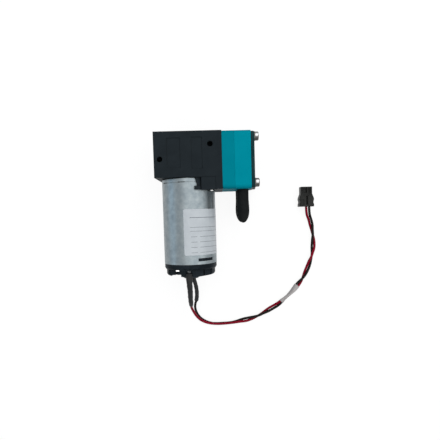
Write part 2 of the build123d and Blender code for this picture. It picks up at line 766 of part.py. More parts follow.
def commutator():
    """Copper drum with three segments."""
    bottom = commutator_top - commutator_length
    drum = post_y(commutator_radius, commutator_top, bottom) - post_y(shaft_radius, commutator_top, bottom)
    for k in range(tooth_count):
        slit = block(-commutator_slit / 2, commutator_slit / 2, bottom, commutator_top,
                     commutator_radius - commutator_slit, commutator_radius + 1)
        drum -= Pos(0, 0, axis_height) * Rot(0, (k + 0.5) * 360 / tooth_count, 0) * slit
    return drum


def magnets():
    """Two arc magnets bonded inside the can."""
    top = can_front - magnet_from_front
    arcs = [sector(armature_radius + magnet_gap, can_bore, top, top - magnet_length,
                   turn - magnet_half_angle, turn + magnet_half_angle) for turn in (90, 270)]
    return Compound(arcs)


def brush_mid():
    """Height of the brushes on the commutator."""
    return commutator_top - commutator_length / 2


def mirrored(shape):
    """The shape and its copy half a turn round the motor axis."""
    return [shape, shape.rotate(motor_axis, 180)]


def brushes():
    """Carbon brushes on the commutator."""
    near = commutator_radius + brush_gap
    brush = block(-brush_width / 2, brush_width / 2, brush_mid() - brush_height / 2,
                  brush_mid() + brush_height / 2, axis_height + near, axis_height + near + brush_length)
    return Compound(mirrored(brush))


def brush_springs():
    """Leaf springs that press the brushes in and carry the current from the terminals."""
    low = axis_height + commutator_radius + brush_gap + brush_length
    high = low + brush_spring_thickness
    leaf = block(-brush_width / 2, brush_width / 2, can_end + spring_end_gap, brush_mid() + brush_height / 2,
                 low, high)
    return Compound(mirrored(leaf))


def terminal():
    """Tinned tab that comes out of the end cap, with its foot on the leaf spring."""
    low = axis_height + terminal_offset - terminal_thickness / 2
    high = low + terminal_thickness
    x0 = -terminal_shift - terminal_width / 2
    spring_top = axis_height + commutator_radius + brush_gap + brush_length + brush_spring_thickness
    end = can_end - terminal_reach
    rise = can_end + terminal_rise
    tab = block(x0, x0 + terminal_width, end, rise, low, high)
    foot = block(x0, x0 + terminal_width, rise - terminal_thickness, rise, spring_top, low)
    notch = (terminal_width - terminal_neck) / 2
    for side in (x0, x0 + terminal_width - notch):
        tab -= block(side, side + notch, end, end + terminal_neck_length, low, high)
    return tab + foot


def motor_terminals():
    return Compound(mirrored(terminal()))


def brush_tab():
    """Tinned tab of a brush holder, showing beside a ledge of the end cap."""
    high = axis_height + bridge_half_depth + tab_proud
    top = can_end - tab_top
    return block(-tab_from_axis - tab_width / 2, -tab_from_axis + tab_width / 2, top - tab_height, top,
                 high - tab_thickness, high)


def brush_tabs():
    return Compound(mirrored(brush_tab()))


def end_cap_blank():
    """Outer form of the motor's end cap: flange, ledges, bridge with a coned underside, and bearing boss."""
    flange_low = can_end - cap_flange_height
    low = can_end - cap_bottom
    blank = motor_turned([(0, can_end), (cap_flange_radius, can_end), (cap_flange_radius, flange_low),
                          (cap_body_radius, flange_low - cap_taper), (cap_body_radius, can_end - cap_edge),
                          (boss_radius, low), (0, low)])
    bridge = blank & block(-can_radius, can_radius, low, can_end,
                           axis_height - bridge_half_depth, axis_height + bridge_half_depth)
    rims = bridge.edges().filter_by(GeomType.CIRCLE).filter_by_position(Axis.Y, can_end - cap_edge,
                                                                        can_end - cap_edge)
    bridge = fillet(rims, foot_radius)
    ledge = blank & block(-ledge_half_width, ledge_half_width, can_end - ledge_depth, can_end,
                          axis_height - ledge_half_depth, axis_height + ledge_half_depth)
    top = blank & block(-can_radius, can_radius, flange_low - cap_taper / 2, can_end,
                        axis_height - can_radius, axis_height + can_radius)
    boss = post_y(boss_radius, can_end, can_end - boss_bottom)
    boss = chamfer(boss.edges().filter_by(GeomType.CIRCLE).sort_by(Axis.Y)[0], boss_chamfer)
    hollow = block(-can_radius + foot_inset, -boss_radius, low, can_end - cap_waist,
                   axis_height - can_radius, axis_height + can_radius)
    return bridge - hollow + ledge + top + boss


def motor_end_cap():
    """Moulded end cap that holds the rear bushing, the terminals and the latches of the can."""
    cap = end_cap_blank()
    rim = motor_turned([(can_bore - cap_rim_wall, can_end), (can_bore, can_end),
                        (can_bore, can_end + cap_rim_height), (can_bore - cap_rim_wall, can_end + cap_rim_height)])
    cap += rim
    top = can_end + window_from_end + window_height - screw_gap
    for turn in (0, 180):
        cap += sector(can_bore - latch_root, can_radius - latch_inset, top, top - window_height + 2 * screw_gap,
                      window_start + latch_end_gap + turn, window_end - latch_end_gap + turn)
    cap -= post_y(cap_hollow_radius, can_end, can_end - cap_hollow_depth)
    cap -= post_y(bushing_radius, can_end - cap_hollow_depth, rear_bushing_top() - bushing_length)
    for side in (-1, 1):
        for reach in rib_slots:
            x = side * reach
            edge = min(math.sqrt(cap_body_radius ** 2 - reach ** 2), bridge_half_depth)
            for face in (-1, 1):
                z = axis_height + face * edge
                cap -= block(x - rib_slot_width / 2, x + rib_slot_width / 2, can_end - cap_bottom,
                             can_end - rib_slot_top, z - rib_slot_depth, z + rib_slot_depth)
    for cut in mirrored(terminal_slot()) + mirrored(brush_tab()) + mirrored(ledge_pocket_cuts()):
        cap -= cut
    return cap


def ledge_pocket_cuts():
    """Shallow pockets between a ledge and the flange."""
    high = can_end - ledge_pocket_top
    cuts = [block(x0, x1, high - ledge_pocket_height, high, axis_height + ledge_half_depth - ledge_pocket_depth,
                  axis_height + can_radius) for x0, x1 in ledge_pockets]
    return Compound(cuts)


def terminal_slot():
    """Slot for one terminal through the end cap, with the hollow that its foot lies in."""
    x = -terminal_shift
    half = terminal_width / 2 + screw_gap
    z = axis_height + terminal_offset
    deep = terminal_thickness / 2 + screw_gap
    return block(x - half, x + half, can_end - cap_bottom - 1, can_end + 1, z - deep, z + deep)


def rating_label():
    """Blank label wrapped round the can."""
    top = can_front - label_top
    band = sector(can_radius, can_radius + label_thickness, top, top - label_height,
                  label_start_angle, label_end_angle)
    return fillet(band.edges().filter_by(lambda e: abs(e.length - label_thickness) < 1e-4), label_corner)


# ------------------------------------------------------------------ leads and plug
def corner_radii(route):
    """Largest even arc at each corner of a route."""
    radii = []
    for before, corner, after in zip(route, route[1:], route[2:]):
        run_in = Vector(*corner) - Vector(*before)
        run_out = Vector(*after) - Vector(*corner)
        turn = math.radians(run_in.get_angle(run_out))
        radii.append(0.45 * min(run_in.length, run_out.length) / math.tan(turn / 2))
    return radii


def lead_path(route):
    return FilletPolyline(*route, radius=corner_radii(route))


def pipe(path, radius):
    """Round tube along a path."""
    return sweep(Plane(origin=path @ 0, z_dir=path % 0) * Circle(radius), path=path)


def sleeve_route(route, runs):
    """First runs of a lead, the last of them halved."""
    last = (Vector(*route[runs]) + Vector(*route[runs + 1])) * 0.5
    return [Vector(*p) for p in route[:runs + 1]] + [last]


def heat_shrink(route, runs, wall):
    """Shrunk sleeve over a terminal and the first stretch of its lead."""
    points = sleeve_route(route, runs)
    start = points[0] + (points[0] - points[1]).normalized() * sleeve_overlap
    radii = corner_radii(route)[:runs]
    path = FilletPolyline(start, *points[1:], radius=radii)
    bore = lead_radius + sleeve_gap
    return pipe(path, bore + wall) - pipe(path, bore)


def marker_sleeve():
    """Flat sleeve that holds the two leads side by side."""
    first, middle, last = [Vector(*p) for p in marker_route]
    start = first + (middle - first).normalized() * marker_trim
    end = last + (middle - last).normalized() * marker_trim
    turn = math.radians((middle - start).get_angle(end - middle))
    arc = 0.45 * min((middle - start).length, (end - middle).length) / math.tan(turn / 2)
    path = FilletPolyline(start, middle, end, radius=[arc])
    across = Vector(0, 0, 1).cross(path % 0)
    plane = Plane(origin=path @ 0, z_dir=path % 0, x_dir=across)
    bore_height = 2 * (lead_radius + marker_gap)
    bore = SlotOverall(bore_height + lead_pitch, bore_height)
    outer = SlotOverall(bore_height + lead_pitch + 2 * marker_wall, bore_height + 2 * marker_wall)
    return sweep(plane * (outer - bore), path=path)


def plug_lead_places():
    """Where the two leads enter the plug, as (x, z)."""
    return [(lead_red_route[-1][0], lead_red_route[-1][2]), (lead_black_route[-1][0], lead_black_route[-1][2])]


def plug_outline():
    """Plan of the plug: wide grip with a waist at the rear, then a taper to the slimmer nose."""
    rear = plug_rear_width / 2
    waist = rear - plug_waist_depth
    nose = plug_front_width / 2
    shares = [(rear, 0), (rear, 0.3), (waist, 0.45), (waist, 0.6), (rear, 0.85), (rear, 1)]
    half = [(x, plug_rear + share * plug_rear_length) for x, share in shares]
    half += [(nose, plug_rear + plug_rear_length + plug_taper_length), (nose, plug_nose)]
    return [(plug_centre + x, y) for x, y in half] + [(plug_centre - x, y) for x, y in half[::-1]]


def plug_housing():
    """Two-way plug with its recessed window, slots and latch on the upper face."""
    body = extrude(make_face(Polyline(*plug_outline(), close=True)), amount=plug_height)
    body = chamfer(body.edges().group_by(Axis.Z)[-1], edge_bevel)
    lever_low = plug_rear + lever_end
    lever = block(plug_centre + lever_x[0], plug_centre + lever_x[1], lever_low, lever_low + lever_length,
                  plug_height - edge_bevel, plug_height + lever_rise)
    body += chamfer(lever.edges().group_by(Axis.Z)[-1], lever_rise / 2)
    top = plug_nose - nose_rim
    body -= plug_recess(window_x, top - window_length, top, window_depth)
    for place in nose_slot_places:
        half = nose_slot_width / 2
        body -= plug_recess((place - half, place + half), top - nose_slot_length, top, nose_slot_depth)
    groove_low = plug_rear + key_groove_end
    body -= plug_recess(key_groove_x, groove_low, groove_low + key_groove_length, key_groove_depth)
    body -= plug_recess(grip_x, groove_low, groove_low + grip_length, grip_depth)
    for x, z in plug_lead_places():
        body -= block(x - plug_cavity / 2, x + plug_cavity / 2, plug_nose - plug_cavity_length, plug_nose,
                      z - plug_cavity / 2, z + plug_cavity / 2)
        body -= post_y(lead_radius + contact_gap, plug_nose, plug_rear, x, z)
    return body


def plug_recess(xs, y0, y1, depth):
    """Recess in the plug's upper face, xs measured from its middle."""
    return block(plug_centre + xs[0], plug_centre + xs[1], y0, y1, plug_height - depth, plug_height + lever_rise)


def plug_contacts():
    """Crimped contacts in the plug's two cavities, open towards its nose."""
    rear = plug_nose - plug_cavity_length
    front = plug_nose - contact_recess
    reach = plug_cavity / 2 - contact_gap
    inner = reach - contact_wall
    contacts = []
    for x, z in plug_lead_places():
        body = block(x - reach, x + reach, rear, front, z - reach, z + reach)
        body -= block(x - inner, x + inner, rear + contact_back_wall, front, z - inner, z + inner)
        contacts.append(body + post_y(lead_radius, rear, plug_rear, x, z))
    return Compound(contacts)


# ------------------------------------------------------------------ nodes
def nodes():
    """Every piece of the pump by its name."""
    return {
        "housing": housing(),
        "saddle_screws": saddle_screws(),
        "eccentric": eccentric(),
        "bearing_inner_ring": bearing_inner_ring(),
        "bearing_outer_ring": bearing_outer_ring(),
        "bearing_balls": bearing_balls(),
        "bearing_cage": bearing_cage(),
        "connecting_rod": connecting_rod(),
        "clamp_disc": clamp_disc(),
        "clamp_screw": clamp_screw(),
        "diaphragm": diaphragm(),
        "intermediate_plate": intermediate_plate(),
        "head_gasket": head_gasket(),
        "inlet_valve": valve_disc(inlet_z, -1),
        "outlet_valve": valve_disc(outlet_z, 1),
        "head_plate": head_plate(),
        "cover_plate": cover_plate(),
        "head_screws": head_screws(),
        "head_washers": head_washers(),
        "port_cap_rear": port_cap(port_zs[0]),
        "port_cap_front": port_cap(port_zs[1]),
        "motor_can": motor_can(),
        "front_bushing": bushing(bushing_top()),
        "rear_bushing": bushing(rear_bushing_top()),
        "motor_shaft": motor_shaft(),
        "thrust_washers": thrust_washers(),
        "armature_core": armature_core(),
        "armature_windings": armature_windings(),
        "commutator": commutator(),
        "magnets": magnets(),
        "brushes": brushes(),
        "brush_springs": brush_springs(),
        "motor_terminals": motor_terminals(),
        "brush_tabs": brush_tabs(),
        "motor_end_cap": motor_end_cap(),
        "rating_label": rating_label(),
        "heat_shrink_red": heat_shrink(lead_red_route, red_sleeve_runs, red_sleeve_wall),
        "heat_shrink_black": heat_shrink(lead_black_route, black_sleeve_runs, black_sleeve_wall),
        "lead_red": pipe(lead_path(lead_red_route), lead_radius),
        "lead_black": pipe(lead_path(lead_black_route), lead_radius),
        "marker_sleeve": marker_sleeve(),
        "plug_housing": plug_housing(),
        "plug_contacts": plug_contacts(),
    }


def main():
    os.makedirs("parts", exist_ok=True)
    for name, route in (("red", lead_red_route), ("black", lead_black_route)):
        path = lead_path(route)
        tube = math.pi * lead_radius ** 2 * path.length
        print(name, "lead length", round(path.length, 1), "section times length", round(tube, 1),
              "radii", [round(r, 1) for r in corner_radii(route)])
    for name, shape in nodes().items():
        export_step(shape, f"parts/{name}.step")


main()
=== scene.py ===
"""Looks of the diaphragm vacuum pump: camera, leads, sleeves, materials, floor and light."""
import bpy
import json
import math
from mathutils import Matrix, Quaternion, Vector


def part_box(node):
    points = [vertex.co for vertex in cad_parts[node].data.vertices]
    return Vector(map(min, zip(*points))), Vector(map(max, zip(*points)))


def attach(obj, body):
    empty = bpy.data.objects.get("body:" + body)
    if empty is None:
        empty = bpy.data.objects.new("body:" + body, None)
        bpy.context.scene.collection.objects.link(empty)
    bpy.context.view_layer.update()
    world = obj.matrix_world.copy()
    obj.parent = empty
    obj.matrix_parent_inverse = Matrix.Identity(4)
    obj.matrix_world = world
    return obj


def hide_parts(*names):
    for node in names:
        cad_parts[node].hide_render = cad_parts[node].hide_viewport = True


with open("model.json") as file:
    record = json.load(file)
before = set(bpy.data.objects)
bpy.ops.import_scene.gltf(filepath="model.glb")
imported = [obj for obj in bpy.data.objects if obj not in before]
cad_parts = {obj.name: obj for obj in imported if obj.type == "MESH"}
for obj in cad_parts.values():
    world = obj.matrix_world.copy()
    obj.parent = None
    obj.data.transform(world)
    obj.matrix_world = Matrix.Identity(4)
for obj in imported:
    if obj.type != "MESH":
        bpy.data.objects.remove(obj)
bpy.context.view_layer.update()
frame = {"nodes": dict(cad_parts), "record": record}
nodes = frame["nodes"]
scene = bpy.context.scene


# ------------------------------------------------------------------ camera
def make_camera():
    """Camera above the pump, tilted a few degrees. Its turn is an axis as long as the angle."""
    data = bpy.data.cameras.new("camera")
    data.lens = 33.31
    data.sensor_width = 36.0
    data.shift_x = -0.0022
    data.shift_y = 0.0412
    data.clip_start = 0.005
    data.clip_end = 20.0
    turn = Vector((-0.058849, -0.009253, -0.027700))
    camera = bpy.data.objects.new("camera", data)
    camera.rotation_mode = "QUATERNION"
    camera.rotation_quaternion = Quaternion(turn.normalized(), turn.length)
    camera.location = (0.014754, -0.027222, 0.234320)
    scene.collection.objects.link(camera)
    scene.camera = camera


# ------------------------------------------------------------------ node materials
def linear(red, green, blue):
    """Scene colour of an 8-bit display colour."""
    def channel(value):
        value /= 255
        return value / 12.92 if value <= 0.04045 else ((value + 0.055) / 1.055) ** 2.4
    return (channel(red), channel(green), channel(blue), 1.0)


class Nodes:
    """Small helper that adds and links the nodes of one material or world."""

    def __init__(self, owner):
        owner.use_nodes = True
        self.owner = owner
        self.tree = owner.node_tree
        self.tree.nodes.clear()

    def add(self, kind, inputs=None, **settings):
        node = self.tree.nodes.new(kind)
        for key, value in settings.items():
            setattr(node, key, value)
        for key, value in (inputs or {}).items():
            self.put(node.inputs[key], value)
        return node

    def put(self, socket, value):
        if isinstance(value, bpy.types.NodeSocket):
            self.tree.links.new(value, socket)
        else:
            socket.default_value = value

    def math(self, operation, first, second, clamp=False):
        node = self.add("ShaderNodeMath", {0: first, 1: second}, operation=operation, use_clamp=clamp)
        return node.outputs[0]

    def dot(self, first, second):
        node = self.add("ShaderNodeVectorMath", {0: first, 1: second}, operation="DOT_PRODUCT")
        return node.outputs["Value"]

    def normal(self):
        return self.add("ShaderNodeNewGeometry").outputs["Normal"]

    def bump(self, height, depth, normal=None):
        inputs = {"Height": height, "Distance": depth, "Strength": 1.0}
        if normal is not None:
            inputs["Normal"] = normal
        return self.add("ShaderNodeBump", inputs).outputs["Normal"]

    def range(self, value, low, high, to_low=0.0, to_high=1.0):
        node = self.add("ShaderNodeMapRange", {"Value": value, "From Min": low, "From Max": high,
                                               "To Min": to_low, "To Max": to_high})
        return node.outputs["Result"]

    def noise(self, place, scale, detail=3.0, roughness=0.55):
        node = self.add("ShaderNodeTexNoise", {"Vector": place, "Scale": scale, "Detail": detail,
                                               "Roughness": roughness})
        return node.outputs["Fac"]

    def mix(self, factor, first, second):
        node = self.add("ShaderNodeMix", data_type="RGBA")
        self.put(node.inputs["Factor"], factor)
        self.put(node.inputs["A"], first)
        self.put(node.inputs["B"], second)
        return node.outputs["Result"]

    def place(self, stretch=(1, 1, 1)):
        """Object coordinates, which are the row frame's on every piece, stretched."""
        coords = self.add("ShaderNodeTexCoord").outputs["Object"]
        return self.add("ShaderNodeMapping", {"Vector": coords, "Scale": stretch}).outputs["Vector"]

    def edge(self, width):
        """0 on flat stretches and about 1 on sharp edges, a width wide, and the normal rounded there."""
        soft = self.add("ShaderNodeBevel", {"Radius": width}, samples=6).outputs["Normal"]
        return self.range(self.dot(soft, self.normal()), 0.995, 0.85), soft

    def painted_shade_mask(self, reach):
        """Mask for painted shade: about 1 in the open and 0 deep in corners, looking a reach around."""
        shut = self.add("ShaderNodeAmbientOcclusion", {"Distance": reach}, samples=8).outputs["AO"]
        return self.range(shut, 0.35, 0.85)

    def seen(self):
        """1 on the rays that show the background: to the camera, in reflections and through glass."""
        rays = self.add("ShaderNodeLightPath").outputs
        mirrored = self.math("MAXIMUM", rays["Is Glossy Ray"], rays["Is Transmission Ray"])
        return self.math("MAXIMUM", rays["Is Camera Ray"], mirrored)

    def shader(self, colour, roughness, normal=None, **fixed):
        """Closes the material with one Principled shader."""
        node = self.add("ShaderNodeBsdfPrincipled")
        self.put(node.inputs["Base Color"], colour)
        self.put(node.inputs["Roughness"], roughness)
        if normal is not None:
            self.put(node.inputs["Normal"], normal)
        for key, value in fixed.items():
            node.inputs[key.replace("_", " ")].default_value = value
        out = self.add("ShaderNodeOutputMaterial")
        self.tree.links.new(node.outputs[0], out.inputs["Surface"])
        return self.owner


# painted shade: the share of a colour that is left deep in a corner
CORNER_SHADE = 0.25                 # a colour's share that is left deep in a corner
# painted highlight: the way that the painted bright side of a small metal head faces
PAINTED_GLINT_WAY = (0.0, 0.26, 0.966)      # the way that the lit side of a small bright head faces
BARE_RIM = (0.9, 0.9, 0.9, 1.0)     # metal rubbed bright on its edges
METAL_EDGE = 0.00012                # how wide that rubbed edge is


def painted_shade_colour(colour):
    """The colour of the painted shade in corners."""
    return tuple(CORNER_SHADE * channel for channel in colour[:3]) + (1.0,)


def moulded(name, colour, light, roughness, grain=2600.0, depth=0.000006, wear=0.5, edge_width=0.00022,
            blotch=160.0, spread=0.10, shade_reach=0.0007, **fixed):
    """Moulded plastic: fine spark-eroded grain, faint flow blotches, rubbed edges and painted shade in corners.

    Lengths are in metres: the grain's depth, a rubbed edge's width and the reach of the painted corner shade.
    """
    n = Nodes(bpy.data.materials.new(name))
    place = n.place()
    blotches = n.noise(place, blotch, 4.0)
    grains = n.noise(place, grain, 2.0, 0.7)
    edge, soft = n.edge(edge_width)
    scuffs = n.range(n.noise(n.place((1, 3, 1)), 900.0, 3.0), 0.45, 0.75)
    rub = n.math("MULTIPLY", edge, n.range(scuffs, 0.0, 1.0, wear * 0.45, wear), clamp=True)
    tone = n.mix(n.range(blotches, 0.35, 0.65, 0.0, spread * 3), colour, light)
    tone = n.mix(rub, tone, light)
    # painted shade in corners and recesses
    tone = n.mix(n.painted_shade_mask(shade_reach), painted_shade_colour(colour), tone)
    rough = n.math("ADD", n.range(blotches, 0.3, 0.7, roughness - 0.05, roughness + 0.05),
                   n.range(grains, 0.3, 0.7, -0.04, 0.06))
    return n.shader(tone, rough, n.bump(grains, depth, soft), **fixed)


def metal(name, colour, dark, roughness, lay=(1, 1, 1), grain=900.0, depth=0.000002, tint=0.35, rim=0.3,
          cloud=220.0, shade_reach=0.0006, painted_glint=0.0, **fixed):
    """Bare or plated metal: fine marks along its lay, uneven brightness and painted shade in corners.

    A painted highlight can be added: the metal is painted that bright where it faces the light from above.
    """
    n = Nodes(bpy.data.materials.new(name))
    streaks = n.noise(n.place(lay), grain, 3.0, 0.6)
    clouds = n.noise(n.place(), cloud, 5.0, 0.62)
    edge, soft = n.edge(METAL_EDGE)
    tone = n.mix(n.range(clouds, 0.3, 0.75, 0.0, tint), colour, dark)
    tone = n.mix(n.math("MULTIPLY", edge, rim), tone, BARE_RIM)
    # painted highlight where the metal faces the light from above
    if painted_glint:
        facing = n.dot(n.normal(), PAINTED_GLINT_WAY)
        tone = n.mix(n.range(facing, 0.87, 0.96), tone, (painted_glint, painted_glint, painted_glint, 1.0))
    # painted shade in corners and grooves
    tone = n.mix(n.painted_shade_mask(shade_reach), painted_shade_colour(colour), tone)
    rough = n.math("ADD", n.range(streaks, 0.3, 0.7, roughness - 0.05, roughness + 0.07),
                   n.range(clouds, 0.3, 0.7, -0.03, 0.05))
    return n.shader(tone, rough, n.bump(streaks, depth, soft), Metallic=1.0, **fixed)


# ------------------------------------------------------------------ leads
def lead_curve(name, route, radius):
    """One open NURBS curve of a lead."""
    data = bpy.data.curves.new(name, "CURVE")
    data.dimensions = "3D"
    data.bevel_depth = radius
    data.bevel_resolution = 6
    data.resolution_u = 12
    data.use_fill_caps = True
    spline = data.splines.new("NURBS")
    spline.points.add(len(route) - 1)
    for point, at in zip(spline.points, route):
        point.co = (*at, 1.0)
    spline.order_u = 3
    spline.use_endpoint_u = True
    lead = bpy.data.objects.new(name, data)
    scene.collection.objects.link(lead)
    return lead


def centreline(lead):
    """Points along a lead's own line."""
    plain = lead.data.copy()
    plain.bevel_depth = 0.0
    holder = bpy.data.objects.new("holder", plain)
    mesh = bpy.data.meshes.new_from_object(holder)
    points = [v.co.copy() for v in mesh.vertices]
    bpy.data.objects.remove(holder)
    bpy.data.meshes.remove(mesh)
    return points


def lengths(points):
    """How far along a line of points each of them lies."""
    reach = [0.0]
    for a, b in zip(points, points[1:]):
        reach.append(reach[-1] + (b - a).length)
    return reach


def along(points, start, end, step):
    """Evenly spaced points on a line of points, between two lengths from its beginning."""
    reach = lengths(points)
    count = max(2, round((end - start) / step))
    found, k = [], 0
    for i in range(count + 1):
        target = start + (end - start) * i / count
        while k < len(points) - 2 and reach[k + 1] < target:
            k += 1
        share = (target - reach[k]) / max(reach[k + 1] - reach[k], 1e-9)
        found.append(points[k].lerp(points[k + 1], share))
    return found


def mesh_piece(name, vertices, faces, material):
    """A smooth mesh object that rides on the root body."""
    data = bpy.data.meshes.new(name)
    data.from_pydata([tuple(v) for v in vertices], [], faces)
    data.validate()
    data.update()
    data.materials.append(material)
    data.shade_smooth()
    piece = bpy.data.objects.new(name, data)
    scene.collection.objects.link(piece)
    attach(piece, "root")
    return piece


def sleeve_mesh(name, centres, across, outline, material):
    """Closed tube with a bore. outline(i) gives the outer and inner (half width, half height) at a ring."""
    sides = 28
    vertices, outer, inner = [], [], []
    for i, centre in enumerate(centres):
        tangent = (centres[min(i + 1, len(centres) - 1)] - centres[max(i - 1, 0)]).normalized()
        side = (across[i] - tangent * across[i].dot(tangent)).normalized()
        up = tangent.cross(side)
        for rings, (width, height) in zip((outer, inner), outline(i)):
            rings.append(len(vertices))
            for k in range(sides):
                angle = 2 * math.pi * k / sides
                vertices.append(centre + side * width * math.cos(angle) + up * height * math.sin(angle))
    loop = outer + inner[::-1] + [outer[0]]
    faces = []
    for a, b in zip(loop, loop[1:]):
        for k in range(sides):
            m = (k + 1) % sides
            faces.append((a + k, a + m, b + m, b + k))
    return mesh_piece(name, vertices, faces, material)


# Points of the leads, from the terminals to the plug.
RED_ROUTE = [
    (-0.00060, -0.05925, 0.02290), (-0.00060, -0.06320, 0.02290), (-0.00040, -0.06770, 0.02100),
    (-0.00060, -0.07200, 0.01850), (-0.00050, -0.07580, 0.01590), (-0.00079, -0.07776, 0.01270),
    (0.00030, -0.08127, 0.00960), (0.00190, -0.08473, 0.00690), (0.00406, -0.08744, 0.00470),
    (0.00707, -0.08929, 0.00310), (0.01058, -0.09027, 0.00235), (0.01451, -0.09052, 0.00220),
    (0.01856, -0.09035, 0.00220), (0.02233, -0.09005, 0.00220), (0.02626, -0.08958, 0.00211),
    (0.03003, -0.08959, 0.00123), (0.03339, -0.08863, 0.00075), (0.03617, -0.08722, 0.00075),
    (0.03884, -0.08574, 0.00075), (0.04095, -0.08411, 0.00075), (0.04344, -0.08232, 0.00078),
    (0.04806, -0.07997, 0.00086), (0.05026, -0.07808, 0.00173), (0.05252, -0.07639, 0.00226),
    (0.05485, -0.07485, 0.00244), (0.05715, -0.07315, 0.00226), (0.05933, -0.07135, 0.00168),
    (0.06117, -0.06938, 0.00092), (0.06256, -0.06733, 0.00075), (0.06352, -0.06491, 0.00075),
    (0.06425, -0.06233, 0.00089), (0.06602, -0.05826, 0.00080), (0.06702, -0.05545, 0.00151),
    (0.06831, -0.05299, 0.00240), (0.06900, -0.05083, 0.00240), (0.07016, -0.04837, 0.00161),
    (0.07051, -0.04546, 0.00080), (0.07021, -0.04253, 0.00075), (0.06949, -0.04017, 0.00075),
    (0.06881, -0.03738, 0.00075), (0.06795, -0.03464, 0.00079), (0.06720, -0.03160, 0.00130),
    (0.06555, -0.02820, 0.00290), (0.06555, -0.02430, 0.00290)]
BLACK_ROUTE = [
    (0.00060, -0.05925, 0.00630), (0.00060, -0.06290, 0.00630), (0.00180, -0.06730, 0.00510),
    (0.00220, -0.07190, 0.00380), (0.00170, -0.07620, 0.00230), (0.00072, -0.07873, 0.00130),
    (0.00066, -0.08159, 0.00080), (0.00167, -0.08452, 0.00075), (0.00340, -0.08687, 0.00075),
    (0.00590, -0.08877, 0.00075), (0.00945, -0.09027, 0.00075), (0.01283, -0.09055, 0.00075),
    (0.01667, -0.09045, 0.00075), (0.02041, -0.09035, 0.00075), (0.02417, -0.08968, 0.00075),
    (0.02773, -0.08840, 0.00076), (0.03134, -0.08765, 0.00111), (0.03450, -0.08700, 0.00190),
    (0.03754, -0.08621, 0.00245), (0.04010, -0.08496, 0.00245), (0.04299, -0.08418, 0.00168),
    (0.04587, -0.08278, 0.00100), (0.04908, -0.08104, 0.00084), (0.05115, -0.07903, 0.00092),
    (0.05299, -0.07692, 0.00092), (0.05485, -0.07485, 0.00092), (0.05665, -0.07265, 0.00092),
    (0.05837, -0.07045, 0.00092), (0.05999, -0.06839, 0.00098), (0.06162, -0.06666, 0.00181),
    (0.06348, -0.06489, 0.00233), (0.06518, -0.06285, 0.00201), (0.06702, -0.05976, 0.00095),
    (0.06798, -0.05709, 0.00075), (0.06851, -0.05432, 0.00075), (0.06899, -0.05123, 0.00075),
    (0.06883, -0.04831, 0.00075), (0.06901, -0.04528, 0.00090), (0.06906, -0.04255, 0.00180),
    (0.06934, -0.04016, 0.00245), (0.06912, -0.03773, 0.00245), (0.06940, -0.03476, 0.00152),
    (0.06872, -0.03175, 0.00140), (0.06725, -0.02830, 0.00290), (0.06725, -0.02430, 0.00290)]
LEAD_RADIUS = 0.0007

make_camera()

